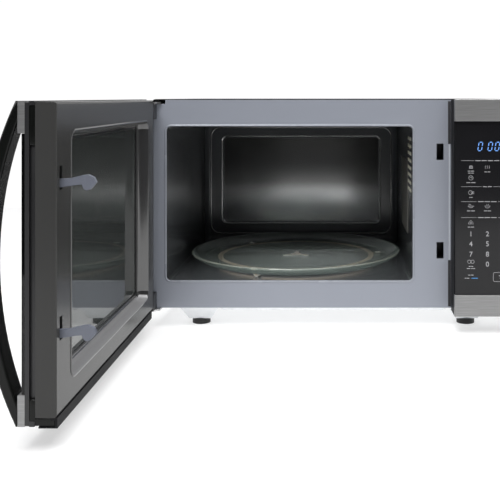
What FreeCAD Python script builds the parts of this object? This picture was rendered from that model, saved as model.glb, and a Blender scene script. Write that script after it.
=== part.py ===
import FreeCAD, Part
import math
import os

# A countertop microwave oven with its door swung open by 90 degrees.
# Millimetres, +X to the right, -Y to the front, +Z up. The origin is the centre
# of the four feet on the surface that the oven stands on.

V = FreeCAD.Vector
UP = V(0, 0, 1)
RIGHT = V(1, 0, 0)
BACK = V(0, 1, 0)

# ---- driving dimensions -----------------------------------------------------
body_width = 520.0
body_depth = 390.0          # front frame to rear panel, without the panel and the door
body_height = 326.0
sheet = 1.0                 # steel sheet of the cover, base and rear panel
frame_sheet = 1.2
cavity_sheet = 0.8
fit_gap = 0.3               # running or assembly clearance
panel_width = 91.7
panel_depth = 36.0          # how far the control panel stands in front of the frame
hinge_stile = 21.0          # frame between the left side and the oven opening
latch_stile = 54.3          # frame between the oven opening and the control panel
top_rail = 38.4
opening_bottom = 66.2
rear_space = 38.0           # behind the cavity
front_lip = 4.5             # the cavity floor lies this far below the opening
foot_radius = 13.0
foot_height = 8.0
foot_neck = 5.0             # the feet snap into the base with a neck and a head
foot_inset_x = 67.0
foot_inset_y = 30.0
base_underside = 28.0
tray_gap = 6.5
tray_glass = 4.0
roller_radius = 5.0
band_height = 30.0          # steel trim bands at the top and bottom of door and panel
band_proud = 4.2
door_open_angle = 90.0
door_gap = 2.5              # between the frame and the inner face of the closed door
door_thickness = 32.0       # inner face to the front glass
door_bottom = 25.5
door_clearance = 2.3        # between the closed door and the control panel
hinge_edge = 5.0            # hinge axis to the door's left edge
hinge_inset = 4.0           # hinge axis to the door's inner face
pin_radius = 2.0
recess_depth = 15.0         # the window lies this deep in the inner cover
handle_width = 22.0
handle_reach = 35.3
slot_width = 10.0
slot_height = 23.5
upper_slot_z = 250.7
lower_slot_z = 110.0
hook_thickness = 5.0
screw_radius = 2.0

# ---- places worked out from them ---------------------------------------------
left, right = -body_width / 2, body_width / 2
frame_y, rear_y = -body_depth / 2, body_depth / 2
frame_back = frame_y + frame_sheet
frame_top = body_height - sheet
inner_left, inner_right = left + sheet, right - sheet
opening = (left + hinge_stile, right - panel_width - latch_stile)
opening_z = (opening_bottom, body_height - top_rail)
cavity_floor = opening_bottom - front_lip
cavity_back = rear_y - rear_space
cavity_side = opening[1] + cavity_sheet
cavity_middle_z = (cavity_floor + opening_z[1]) / 2
cavity_depth = cavity_back - frame_back
tray_x = (opening[0] + opening[1]) / 2
tray_y = (frame_back + cavity_back) / 2 + 2
tray_radius = min(opening[1] - opening[0], cavity_depth) / 2 - tray_gap
tray_z = cavity_floor + 2 * roller_radius + fit_gap
flat_radius = tray_radius - 22
roller_ring_radius = tray_radius - 46
roller_track = roller_ring_radius + 13
bay_left = cavity_side
bay_middle = (bay_left + inner_right) / 2
foot_x, foot_y = right - foot_inset_x, rear_y - foot_inset_y
panel_left = right - panel_width
door_width = panel_left - door_clearance - left
door_right = left + door_width
door_top = body_height - 0.5
hinge_x = left + hinge_edge
hinge_y = frame_y - door_gap - hinge_inset
latch_x = opening[1] + 38.5
leaf = 2.5                  # thickness of a hinge plate
upper_leaf_z = frame_top - 5.5
lower_leaf_z = base_underside - leaf - 0.2
glass_front = door_gap + door_thickness
band_front = glass_front + band_proud


# ---- shapes ------------------------------------------------------------------
def block(x, y, z):
    return Part.makeBox(x[1] - x[0], y[1] - y[0], z[1] - z[0], V(x[0], y[0], z[0]))


def rod(radius, start, end):
    way = end - start
    return Part.makeCylinder(radius, way.Length, start, way)


def tube(outer, inner, start, end):
    return rod(outer, start, end).cut(rod(inner, start, end))


def rounded(x, y, z, along, radius):
    """A block whose edges along one axis are rounded."""
    solid = block(x, y, z)
    edges = [e for e in solid.Edges if abs(e.tangentAt(e.FirstParameter).dot(along)) > 0.9]
    return solid.makeFillet(radius, edges)


def joined(*solids):
    return solids[0].fuse(list(solids[1:])).removeSplitter()


def group(solids):
    return Part.makeCompound(list(solids))


def prism(points, way):
    """A flat outline pushed along a vector."""
    wire = Part.makePolygon(points + [points[0]])
    return Part.Face(wire).extrude(way)


def turned(profile, axis_x, axis_y, height):
    """An outline of (radius, height) pairs spun about a vertical axis."""
    points = [V(axis_x + r, axis_y, height + z) for r, z in profile]
    face = Part.Face(Part.makePolygon(points + [points[0]]))
    return face.revolve(V(axis_x, axis_y, 0), UP, 360)


def ahead(near, far):
    """The Y range between two distances in front of the frame."""
    return (frame_y - far, frame_y - near)


def grid(first, last, pitch):
    """Evenly spaced places between two limits, centred, at about the given pitch."""
    count = max(1, int((last - first) / pitch))
    margin = (last - first - (count - 1) * pitch) / 2
    return [first + margin + pitch * i for i in range(count)]


# ---- cabinet -----------------------------------------------------------------
def outer_cover():
    bend = 6.0
    y = (frame_back + fit_gap, rear_y)
    shell = rounded((left, right), y, (-2 * bend, body_height), BACK, bend)
    hollow = rounded((inner_left, inner_right), (y[0] - 1, y[1] + 1),
                     (-3 * bend, body_height - sheet), BACK, bend - sheet)
    shell = shell.cut([hollow, block((left - 1, right + 1), (y[0] - 1, y[1] + 1), (-20, base_underside))])
    vents = []
    for y_slot in grid(rear_y - 150, rear_y - 30, 9):
        for z_slot in (95, 135, 175):
            vents.append(block((inner_right - 2, right + 2), (y_slot, y_slot + 3.5), (z_slot, z_slot + 28)))
    for y_slot in grid(frame_y + 60, frame_y + 150, 9):
        vents.append(block((left - 2, inner_left + 2), (y_slot, y_slot + 3.5), (60, 88)))
    return shell.cut(vents)


def rear_panel():
    flange = 12.0
    x = (inner_left + fit_gap, inner_right - fit_gap)
    top = body_height - sheet - fit_gap
    pan = block(x, (rear_y - sheet - flange, rear_y), (base_underside + sheet + fit_gap, top))
    room = block((x[0] + sheet, x[1] - sheet), (rear_y - sheet - flange - 1, rear_y - sheet),
                 (0, top - sheet))
    corners = [e for e in pan.Edges if abs(e.tangentAt(0).y) > 0.9 and e.CenterOfMass.z > top - 1]
    pan = pan.makeFillet(5, corners).cut(room)
    tools = [rod(8, V(x[1] - 40, rear_y - 5, 60), V(x[1] - 40, rear_y + 5, 60))]
    for ring in range(1, 6):
        for i in range(6 * ring):
            angle = 2 * math.pi * i / (6 * ring)
            spot = V(bay_middle + 9 * ring * math.cos(angle), rear_y - 5,
                     fan_z() + 9 * ring * math.sin(angle))
            tools.append(rod(2.8, spot, spot + V(0, 10, 0)))
    for x_slot in grid(left + 60, left + 220, 10):
        tools.append(block((x_slot, x_slot + 4), (rear_y - 5, rear_y + 5), (230, 262)))
    return pan.cut(tools)


def fan_z():
    return cavity_middle_z + 35


def frustum(x, y, z_top, z_bottom, draft):
    """A pressed-down field that narrows towards the bottom."""
    wires = []
    for z, inset in ((z_top, 0), (z_bottom, draft)):
        a, b = x[0] + inset, x[1] - inset
        c, d = y[0] + inset, y[1] - inset
        wires.append(Part.makePolygon([V(a, c, z), V(b, c, z), V(b, d, z), V(a, d, z), V(a, c, z)]))
    return Part.makeLoft(wires, True, True)


def pressed_field(x, y, depth, draft):
    outer = frustum(x, y, base_underside + sheet / 2, base_underside - depth, draft)
    inner = frustum((x[0] + sheet, x[1] - sheet), (y[0] + sheet, y[1] - sheet),
                    base_underside + sheet + 1, base_underside - depth + sheet, draft)
    return outer, inner


def feet_places():
    return [V(x, y, 0) for x in (-foot_x, foot_x) for y in (-foot_y, foot_y)]


def base_plate():
    x = (inner_left + fit_gap, inner_right - fit_gap)
    y = (frame_back, rear_y)
    plate = block(x, y, (base_underside, base_underside + sheet))
    for side in (block((x[0], x[0] + sheet), y, (base_underside, base_underside + 14)),
                 block((x[1] - sheet, x[1]), y, (base_underside, base_underside + 14))):
        plate = plate.fuse(side.cut(block((left, right), (rear_y - 14, rear_y + 1), (base_underside + sheet, 90))))
    fields = [((-foot_x + 24, foot_x - 24), (frame_y + 10, rear_y - 12), 8.5, 10)]
    boss = foot_radius + 16
    for foot in feet_places():
        fields.append(((foot.x - boss, foot.x + boss),
                       (max(foot.y - boss, frame_y + 6), min(foot.y + boss, rear_y - 6)),
                       base_underside - foot_height, 13))
    for x_field, y_field, depth, draft in fields:
        plate = plate.fuse(pressed_field(x_field, y_field, depth, draft)[0])
    for x_field, y_field, depth, draft in fields:
        plate = plate.cut(pressed_field(x_field, y_field, depth, draft)[1])
    tools = [rod(foot_neck, foot, foot + V(0, 0, 20)) for foot in feet_places()]
    for x_slot in grid(bay_left + 20, foot_x - 40, 9):
        tools.append(block((x_slot, x_slot + 4), (-20, 30), (0, base_underside + 5)))
    return plate.cut(tools)


def feet():
    feet_solids = []
    seat = V(0, 0, foot_height)
    for place in feet_places():
        pad = rod(foot_radius, place, place + seat)
        neck = rod(foot_neck, place + seat, place + seat + V(0, 0, sheet))
        head = Part.makeCone(foot_neck + 1.5, foot_neck - 1.5, 4, place + seat + V(0, 0, sheet), UP)
        feet_solids.append(joined(pad, neck, head))
    return group(feet_solids)


def latch_slots(x_extra, z_extra, y):
    """Cutting blocks for the two openings that the door's hooks go through."""
    blocks = []
    for middle in (upper_slot_z, lower_slot_z):
        x = (latch_x - slot_width / 2 - x_extra, latch_x + slot_width / 2 + x_extra)
        z = (middle - slot_height / 2 - z_extra, middle + slot_height / 2 + z_extra)
        blocks.append(block(x, y, z))
    return blocks


def front_frame():
    z = (base_underside, frame_top)
    plate = block((left, right), (frame_y, frame_back), z)
    flange = 11.0
    rim_x = (inner_left + fit_gap, inner_right - fit_gap)
    rim_y = (frame_back, frame_back + flange)
    rim_top = body_height - sheet - fit_gap
    rim = block(rim_x, rim_y, (base_underside + sheet, rim_top))
    corners = [e for e in rim.Edges if abs(e.tangentAt(0).y) > 0.9 and e.CenterOfMass.z > rim_top - 1]
    rim = rim.makeFillet(5.2, corners)
    rim = rim.cut(block((rim_x[0] + sheet, rim_x[1] - sheet), (frame_back - 1, rim_y[1] + 1),
                        (0, rim_top - sheet)))
    plate = joined(plate, rim.cut(block((left, right), rim_y, (0, base_underside + 16))))
    window = rounded(opening, (frame_y - 5, frame_back + 5), opening_z, BACK, 7)
    wiring = rounded((panel_left + 22, right - 22), (frame_y - 5, frame_back + 5),
                     (base_underside + 60, frame_top - 60), BACK, 6)
    notch = 20.0
    corner_top = block((left - 1, left + notch), (frame_y - 1, frame_back + 40),
                       (upper_leaf_z - fit_gap, frame_top + 2))
    return plate.cut([window, wiring, corner_top] + latch_slots(0, 0, (frame_y - 1, frame_back + 1)))


def cavity():
    y = (frame_back, cavity_back)
    inner_x = opening
    inner_z = (cavity_floor, opening_z[1])
    t = cavity_sheet
    outer = rounded((inner_x[0] - t, inner_x[1] + t), (y[0], y[1] + t), (inner_z[0] - t, inner_z[1] + t),
                    BACK, 7 + t)
    back_rim = [e for e in outer.Edges if e.CenterOfMass.y > y[1] + t - 0.01]
    outer = outer.makeFillet(12 + t, back_rim)
    inner = rounded(inner_x, (y[0] - 20, y[1]), inner_z, BACK, 7)
    back_rim = [e for e in inner.Edges if e.CenterOfMass.y > y[1] - 0.01]
    inner = inner.makeFillet(12, back_rim)
    # a shallow rectangle is pressed outwards in the back wall
    panel_x = (inner_x[0] + 31, inner_x[1] - 31)
    panel_z = (cavity_floor + 35, opening_z[1] - 31)
    outer = outer.fuse(rounded(panel_x, (y[1] - 5, y[1] + 4 + t), panel_z, BACK, 9))
    inner = inner.fuse(rounded((panel_x[0] + t, panel_x[1] - t), (y[1] - 5, y[1] + 4),
                               (panel_z[0] + t, panel_z[1] - t), BACK, 9 - t))
    # the sill between the opening and the lower floor
    sill = block((inner_x[0] + 7, inner_x[1] - 7), (y[0], y[0] + t), (cavity_floor - t, opening_bottom))
    shell = joined(outer.cut(inner), sill)
    window = waveguide_window()
    tools = [block((inner_x[1] - 2, inner_x[1] + 5), window[0], window[1]),
             rod(7, V(tray_x, tray_y, cavity_floor - 5), V(tray_x, tray_y, cavity_floor + 5))]
    for y_hole in grid(frame_y + 38, frame_y + 88, 7):
        for z_hole in grid(cavity_middle_z + 16, cavity_middle_z + 92, 8):
            tools.append(rod(1.8, V(inner_x[1] - 2, y_hole, z_hole), V(inner_x[1] + 3, y_hole, z_hole)))
    return shell.cut(tools)


def waveguide_window():
    """Y and Z ranges of the hole that lets the microwaves into the cavity."""
    middle_y = frame_y + 155
    return (middle_y - 48, middle_y + 48), (cavity_middle_z - 44, cavity_middle_z + 44)


def waveguide_cover():
    y, z = waveguide_window()
    x = (opening[1] - 0.6, opening[1])
    return rounded(x, (y[0] - 15, y[1] + 15), (z[0] - 12, z[1] + 12), RIGHT, 6)


def upper_hinge_plate():
    axis = V(hinge_x, hinge_y, 0)
    z = (upper_leaf_z, upper_leaf_z + leaf)
    tip = rod(hinge_edge, V(axis.x, axis.y, z[0]), V(axis.x, axis.y, z[1]))
    arm = block((left + 0.01, hinge_x + 9), (hinge_y, frame_y - 0.5), z)
    root = block((inner_left + fit_gap + sheet + fit_gap, hinge_x + 9), (frame_y - 0.5, frame_back + 14), z)
    tab = block((inner_left + 3, hinge_x + 9), (frame_back, frame_back + 2), (upper_leaf_z - 26, z[1]))
    hole = rod(screw_radius, V(hinge_x + 2, frame_back - 5, upper_leaf_z - 16),
               V(hinge_x + 2, frame_back + 5, upper_leaf_z - 16))
    pin_hole = rod(pin_radius, V(axis.x, axis.y, z[0] - 1), V(axis.x, axis.y, z[1] + 1))
    return joined(tip, arm, root, tab).cut([hole, pin_hole])


def lower_hinge_plate():
    axis = V(hinge_x, hinge_y, 0)
    z = (lower_leaf_z, lower_leaf_z + leaf)
    tip = rod(hinge_edge, V(axis.x, axis.y, z[0]), V(axis.x, axis.y, z[1]))
    arm = block((left + 0.01, hinge_x + 9), (hinge_y, frame_back + 22), z)
    pin_hole = rod(pin_radius, V(axis.x, axis.y, z[0] - 1), V(axis.x, axis.y, z[1] + 1))
    return joined(tip, arm).cut(pin_hole)


def hinge_pins():
    top = rod(pin_radius, V(hinge_x, hinge_y, upper_leaf_z - 16), V(hinge_x, hinge_y, upper_leaf_z + leaf))
    bottom = rod(pin_radius, V(hinge_x, hinge_y, lower_leaf_z), V(hinge_x, hinge_y, lower_leaf_z + leaf + 20))
    return group([top, bottom])


def screw(place, way, length, head=3.6):
    """A pan-head screw whose head lies against the face at place."""
    way.normalize()
    solid = joined(rod(head, place - way * 2.2, place), rod(1.5, place, place + way * length))
    return solid.cut(rod(0.9, place - way * 3, place - way * 1.2))


def cover_screws():
    screws = []
    for z in (60, 180, body_height - 40):
        for x in (left, right):
            way = V(1 if x < 0 else -1, 0, 0)
            screws.append(screw(V(x, rear_y - 7, z), way, 6))
    return group(screws)


def with_screw_holes(shape, screws):
    return shape.cut(list(screws.Solids))


def cord_bushing():
    place = V(inner_right - fit_gap - 40, rear_y, 60)
    flange = rod(11, place, place + V(0, 3, 0))
    neck = rod(8, place - V(0, 7, 0), place)
    return joined(flange, neck).cut(rod(4, place - V(0, 9, 0), place + V(0, 9, 0)))


# ---- what makes, feeds and cools the microwaves --------------------------------
guide_depth = 30.0          # cavity wall to the far wall of the waveguide
magnetron_y = frame_y + 145


def waveguide():
    y, z = waveguide_window()
    x = (cavity_side, cavity_side + guide_depth)
    duct = block(x, (y[0] - 4, y[1] + 4), (z[0] - 4, z[1] + 4))
    duct = duct.cut(block((x[0] - 1, x[1] - frame_sheet), (y[0] - 2.8, y[1] + 2.8), (z[0] - 2.8, z[1] + 2.8)))
    lug = block((x[0], x[0] + frame_sheet), (y[0] - 14, y[1] + 14), (z[0] - 4, z[1] + 4))
    lug = lug.cut(block((x[0] - 1, x[1]), (y[0] - 3, y[1] + 3), (0, body_height)))
    hole = rod(14, V(x[1] - 5, magnetron_y, cavity_middle_z), V(x[1] + 5, magnetron_y, cavity_middle_z))
    return joined(duct, lug).cut(hole)


def magnetron_x():
    start = cavity_side + guide_depth
    return start, start + 56


def magnetron_yoke():
    x = magnetron_x()
    z = (cavity_middle_z - 35, cavity_middle_z + 35)
    y = (magnetron_y - 42, magnetron_y + 42)
    box = block(x, y, z).cut(block((x[0] + 2, x[1] - 2), (y[0] - 1, y[1] + 1), (z[0] + 2, z[1] - 2)))
    bore = rod(15.5, V(x[0] - 5, magnetron_y, cavity_middle_z), V(x[1] + 5, magnetron_y, cavity_middle_z))
    return box.cut(bore)


def magnetron_magnets():
    x = magnetron_x()
    rings = []
    for a, b in ((x[0] + 2, x[0] + 13), (x[1] - 13, x[1] - 2)):
        rings.append(tube(27, 15, V(a, magnetron_y, cavity_middle_z), V(b, magnetron_y, cavity_middle_z)))
    return group(rings)


def magnetron_anode():
    x = magnetron_x()
    line = [V(x_at, magnetron_y, cavity_middle_z) for x_at in
            (x[0] - 25, x[0] - 8, x[0] + 13, x[1] - 13, x[1] + 6)]
    antenna = rod(7.5, line[0], line[1])
    neck = rod(13.5, line[1], line[2])
    body = rod(19, line[2], line[3])
    stem = rod(13.5, line[3], line[4])
    return joined(antenna, neck, body, stem)


def magnetron_fins():
    x = magnetron_x()
    fins = []
    for x_fin in grid(x[0] + 14, x[1] - 14, 4.6):
        fin = block((x_fin, x_fin + 0.8), (magnetron_y - 38, magnetron_y + 38),
                    (cavity_middle_z - 33, cavity_middle_z + 33))
        fins.append(fin.cut(rod(19, V(x_fin - 1, magnetron_y, cavity_middle_z),
                                V(x_fin + 2, magnetron_y, cavity_middle_z))))
    return group(fins)


def magnetron_filter_box():
    x = magnetron_x()[1]
    solid = rounded((x, x + 24), (magnetron_y - 24, magnetron_y + 24),
                    (cavity_middle_z - 22, cavity_middle_z + 22), RIGHT, 3)
    return solid.cut(rod(13.5, V(x - 1, magnetron_y, cavity_middle_z), V(x + 6, magnetron_y, cavity_middle_z)))


transformer_y = (magnetron_y + 62, magnetron_y + 132)


def transformer_core():
    z = (base_underside + sheet, base_underside + sheet + 84)
    x = (bay_middle - 50, bay_middle + 50)
    y = transformer_y
    middle = (y[0] + y[1]) / 2
    core = block(x, (middle - 24, middle + 24), z)
    for side in (-1, 1):
        a = bay_middle + side * 16
        b = bay_middle + side * 34
        core = core.cut(block((min(a, b), max(a, b)), (y[0] - 1, y[1] + 1), (z[0] + 17, z[1] - 17)))
    foot = block((x[0] - 8, x[1] + 8), (middle - 24, middle + 24), (z[0], z[0] + 2))
    return joined(core, foot)


def transformer_windings():
    y = transformer_y
    middle = (y[0] + y[1]) / 2
    floor = base_underside + sheet
    coils = []
    for low, high in ((floor + 17.3, floor + 38), (floor + 42, floor + 66.7)):
        coil = rounded((bay_middle - 33.7, bay_middle + 33.7), (middle - 35, middle + 35), (low, high), UP, 8)
        coils.append(coil.cut(block((bay_middle - 16.2, bay_middle + 16.2), (middle - 24.2, middle + 24.2),
                                    (low - 1, high + 1))))
    return group(coils)


capacitor_y = (frame_y + 60, frame_y + 128)


def hv_capacitor():
    z = (base_underside + sheet, base_underside + sheet + 34)
    can = rounded((bay_middle - 50, bay_middle + 20), capacitor_y, z, UP, 16)
    posts = [rod(2.5, V(bay_middle + dx, capacitor_y[0] + 26, z[1]), V(bay_middle + dx, capacitor_y[0] + 26, z[1] + 8))
             for dx in (-28, -4)]
    return joined(can, *posts)


def capacitor_strap():
    z = (base_underside + sheet, base_underside + sheet + 34)
    x = (bay_middle - 51.2, bay_middle + 21.2)
    y = (capacitor_y[1] - 26, capacitor_y[1] - 14)
    strap = block(x, y, (z[0], z[1] + 1.2)).cut(block((x[0] + 1.2, x[1] - 1.2), (y[0] - 1, y[1] + 1), (0, z[1])))
    ear = block((x[1] - 1.2, x[1] + 12), y, (z[0], z[0] + 1.2))
    return joined(strap, ear)


def hv_diode():
    z = base_underside + sheet + 34 + 5
    y = capacitor_y[0] + 26
    start = V(bay_middle - 1.5, y, z)
    lug = block((start.x, start.x + 6), (y - 3, y + 3), (z - 0.5, z + 0.5))
    body = rod(3, start + V(6, 0, 0), start + V(28, 0, 0))
    tab = block((start.x + 28, start.x + 36), (y - 3, y + 3), (z - 0.5, z + 0.5))
    leg = block((start.x + 35, start.x + 36), (y - 3, y + 3), (base_underside + sheet, z))
    return joined(lug, body, tab, leg)


fan_wheel_y = (rear_y - 34, rear_y - 20)
fan_radius = 54.0


def fan_shroud():
    y = fan_wheel_y[0] - 6
    x = (bay_left + 4, inner_right - 6)
    z = (fan_z() - 66, fan_z() + 66)
    plate = block(x, (y, y + 2), z)
    centre = V(bay_middle, y, fan_z())
    throat = tube(fan_radius + 5, fan_radius + 3, centre, centre + V(0, 20, 0))
    hole = rod(fan_radius + 3, centre - V(0, 5, 0), centre + V(0, 30, 0))
    ears = [block((x_ear, x_ear + 2), (y, rear_y - sheet), z) for x_ear in (x[0], x[1] - 2)]
    arms = [block((x[0], x[1]), (y, y + 2), (fan_z() + dz - 3, fan_z() + dz + 3)) for dz in (-24, 24)]
    ring = joined(plate.cut(hole), throat, *ears)
    return joined(ring, *arms).cut(rod(4, centre - V(0, 5, 0), centre + V(0, 5, 0)))


def fan_motor():
    y = fan_wheel_y[0] - 6
    x, z = bay_middle, fan_z()
    stack = block((x - 30, x + 30), (y - 20, y - 4), (z - 30, z + 24))
    stack = stack.cut([block((x - 18, x + 18), (y - 21, y - 3), (z - 24, z - 14)), rod(6, V(x, y - 21, z), V(x, y, z))])
    coil = rounded((x - 16, x + 16), (y - 27, y - 0.01), (z - 34, z - 22), RIGHT, 3)
    coil = coil.cut(block((x - 17, x + 17), (y - 20.2, y - 3.8), (z - 30.2, z - 23.8)))
    pads = [rod(4, V(x + dx, y - 4, z + dz), V(x + dx, y, z + dz)) for dx, dz in ((-25, -24), (25, -24), (-25, 20), (25, 20))]
    bearing = tube(6, 2.2, V(x, y - 21, z), V(x, y - 2, z))
    return joined(stack, bearing, *pads).fuse(coil.cut(stack)).removeSplitter()


def fan_blade():
    y0, y1 = fan_wheel_y
    axis = V(bay_middle, 0, fan_z())
    hub = rod(12, axis + V(0, y0, 0), axis + V(0, y1, 0))
    shaft = rod(1.9, axis + V(0, y0 - 27, 0), axis + V(0, y1, 0))
    blades = []
    for i in range(5):
        blade = block((-14, 14), (-0.7, 0.7), (10, fan_radius))
        blade.rotate(V(0, 0, 0), V(0, 0, 1), 22)
        blade.rotate(V(0, 0, 0), V(0, 1, 0), 72 * i)
        blade.translate(axis + V(0, (y0 + y1) / 2, 0))
        blades.append(blade)
    disc = rod(fan_radius, axis + V(0, y0, 0), axis + V(0, y1, 0))
    return joined(hub, shaft, *[blade.common(disc) for blade in blades])


def air_duct():
    """A plastic hood that leads the magnetron's warm air to the cavity wall holes."""
    y, z = waveguide_window()
    x = (cavity_side, magnetron_x()[1])
    y_duct = (frame_y + 46, magnetron_y - 42 - fit_gap)
    z_duct = (cavity_middle_z + 8, cavity_middle_z + 33)
    hood = block(x, y_duct, z_duct)
    room = block((x[0] - 1, x[1] - 2), (y_duct[0] + 2, y_duct[1] + 1), (z_duct[0] + 2, z_duct[1] - 2))
    return hood.cut([room, waveguide()])


def lamp_places():
    x = cavity_side
    return x, frame_y + 62, cavity_middle_z + 72


def lamp_holder():
    x, y, z = lamp_places()
    cup = block((x, x + 26), (y - 17, y + 17), (z - 17, z + 17))
    cup = cup.cut(block((x - 1, x + 24), (y - 15, y + 15), (z - 15, z + 15)))
    socket = tube(9, 6.9, V(x + 26, y, z), V(x + 44, y, z))
    return joined(cup.cut(rod(6.9, V(x + 20, y, z), V(x + 30, y, z))), socket)


def oven_lamp():
    x, y, z = lamp_places()
    base = rod(6.9, V(x + 18, y, z), V(x + 42, y, z))
    bulb = rod(8, V(x + 6, y, z), V(x + 20, y, z))
    bulb = bulb.makeFillet(5, [e for e in bulb.Edges if e.CenterOfMass.x < x + 7])
    return joined(base, bulb)


def thermostats():
    """One on the cavity's top, one on the magnetron's yoke."""
    top = opening_z[1] + cavity_sheet
    x = magnetron_x()
    spots = [(V(tray_x, tray_y, top), UP), (V(x[0] + 20, magnetron_y, cavity_middle_z + 35), UP)]
    discs = []
    for spot, way in spots:
        disc = rod(9, spot, spot + way * 2)
        body = rod(7.5, spot + way * 2, spot + way * 8)
        tabs = [block((spot.x + dx - 0.4, spot.x + dx + 0.4), (spot.y - 3, spot.y + 3), (spot.z + 8, spot.z + 16))
                for dx in (-4, 4)]
        discs.append(joined(disc, body, *tabs))
    return group(discs)


filter_x, filter_y = opening[1] - 92, rear_y - 110


def filter_board():
    top = opening_z[1] + cavity_sheet
    z = (top + 4, top + 5.6)
    board = block((filter_x, filter_x + 80), (filter_y, filter_y + 55), z)
    posts = [rod(2.5, V(filter_x + dx, filter_y + dy, top), V(filter_x + dx, filter_y + dy, z[0]))
             for dx in (6, 74) for dy in (6, 49)]
    choke = tube(11, 5, V(filter_x + 20, filter_y + 20, z[1]), V(filter_x + 20, filter_y + 20, z[1] + 12))
    film = block((filter_x + 40, filter_x + 62), (filter_y + 30, filter_y + 44), (z[1], z[1] + 14))
    clips = [block((filter_x + dx, filter_x + dx + 3), (filter_y + 8, filter_y + 16), (z[1], z[1] + 8)) for dx in (42, 68)]
    seat = rod(3, V(filter_x + 41, filter_y + 12, z[1] + 4.5), V(filter_x + 72, filter_y + 12, z[1] + 4.5))
    return joined(board, *posts, choke, film, *clips).cut(seat)


def fuse_link():
    z = opening_z[1] + cavity_sheet + 5.6 + 4.5
    return rod(3, V(filter_x + 41.5, filter_y + 12, z), V(filter_x + 71.5, filter_y + 12, z))


# ---- door interlock ------------------------------------------------------------
def latch_board():
    """A plastic carrier behind the frame's two slots, with a catch ledge in each opening."""
    x = (latch_x - 11, latch_x + 10)
    y = (frame_back, frame_back + 40)
    z = (lower_slot_z - 26, upper_slot_z + 26)
    board = block(x, y, z)
    tunnels = latch_slots(1.8, 0.4, (frame_back - 1, frame_back + 38))
    middle = rounded((x[0] - 1, x[1] + 1), (y[0] + 5, y[1] - 5), (lower_slot_z + 24, upper_slot_z - 24), RIGHT, 8)
    return board.cut(tunnels + [middle])


def door_switches():
    """Three snap switches side by side on the latch board."""
    x = (latch_x + 10, latch_x + 20)
    switches = []
    for z in (upper_slot_z + 1, upper_slot_z - 30, lower_slot_z - 8):
        body = rounded(x, (frame_back + 8, frame_back + 36), (z, z + 16), RIGHT, 1.5)
        button = block((x[0] + 3, x[1] - 3), (frame_back + 4.5, frame_back + 8), (z + 9, z + 12))
        tabs = [block((x[0] + 3, x[1] - 3), (y_tab, y_tab + 1), (z - 6, z)) for y_tab in (frame_back + 12, frame_back + 22)]
        switches.append(joined(body, button, *tabs))
    return group(switches)


# ---- turntable -----------------------------------------------------------------
def turntable_motor():
    top = cavity_floor - cavity_sheet
    can = rod(25, V(tray_x, tray_y, top - 14), V(tray_x, tray_y, top))
    can = can.cut(rod(7.5, V(tray_x, tray_y, top - 15), V(tray_x, tray_y, top + 1)))
    can = can.fuse(rod(7.5, V(tray_x, tray_y, top - 14), V(tray_x, tray_y, top - 12)))
    ears = block((tray_x - 36, tray_x + 36), (tray_y - 6, tray_y + 6), (top - 1.5, top))
    ears = ears.cut(rod(20, V(tray_x, tray_y, top - 5), V(tray_x, tray_y, top + 5)))
    return joined(can, ears)


def drive_shaft():
    top = cavity_floor - cavity_sheet
    gear = rod(7, V(tray_x, tray_y, top - 11.7), V(tray_x, tray_y, top - 4))
    pin = rod(3.2, V(tray_x, tray_y, top - 4), V(tray_x, tray_y, cavity_floor + 6))
    return joined(gear, pin)


def tray_coupler():
    z = (cavity_floor + 2, tray_z - 0.4)
    hub = rod(9, V(tray_x, tray_y, z[0]), V(tray_x, tray_y, z[1]))
    lobes = []
    for i in range(3):
        lobe = rounded((tray_x - 3.5, tray_x + 3.5), (tray_y, tray_y + 23), z, UP, 3.4)
        lobe.rotate(V(tray_x, tray_y, 0), UP, 120 * i)
        lobes.append(lobe)
    return joined(hub, *lobes).cut(rod(3.2, V(tray_x, tray_y, z[0] - 1), V(tray_x, tray_y, cavity_floor + 6)))


def glass_tray():
    profile = [(0, 0), (flat_radius, 0), (tray_radius - 9, 3.4), (tray_radius - 0.5, 5.4), (tray_radius, 7),
               (tray_radius - 0.8, 9), (tray_radius - 2.5, 9.2), (tray_radius - 9, 7.4),
               (flat_radius - 1, tray_glass), (0, tray_glass)]
    plate = turned(profile, tray_x, tray_y, tray_z)
    lugs = []
    for i in range(3):
        lug = rod(3, V(tray_x, tray_y + 16, tray_z - 4.5), V(tray_x, tray_y + 16, tray_z + 0.5))
        lug.rotate(V(tray_x, tray_y, 0), UP, 60 + 120 * i)
        lugs.append(lug)
    return joined(plate, *lugs)


roller_angles = [8, 128, 248]
roller_half = 4.0


def roller_line(angle):
    way = V(math.cos(math.radians(angle)), math.sin(math.radians(angle)), 0)
    return V(tray_x, tray_y, cavity_floor + roller_radius + 0.1), way


def roller_ring():
    centre = V(tray_x, tray_y, cavity_floor)
    ring = tube(roller_ring_radius + 4, roller_ring_radius - 4, centre + V(0, 0, 2.4), centre + V(0, 0, 8.2))
    axles = []
    for angle in roller_angles:
        hub, way = roller_line(angle)
        end = roller_track + roller_half + fit_gap
        axles.append(rod(1.5, hub + way * (roller_ring_radius + 2), hub + way * (end + 1)))
        axles.append(rod(2.4, hub + way * end, hub + way * (end + 1.4)))
    return joined(ring, *axles)


def roller(angle):
    hub, way = roller_line(angle)
    return tube(roller_radius, 1.75, hub + way * (roller_track - roller_half), hub + way * (roller_track + roller_half))


# ---- control panel ---------------------------------------------------------------
panel_wall = 2.5
panel_bottom = 25.1


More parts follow.
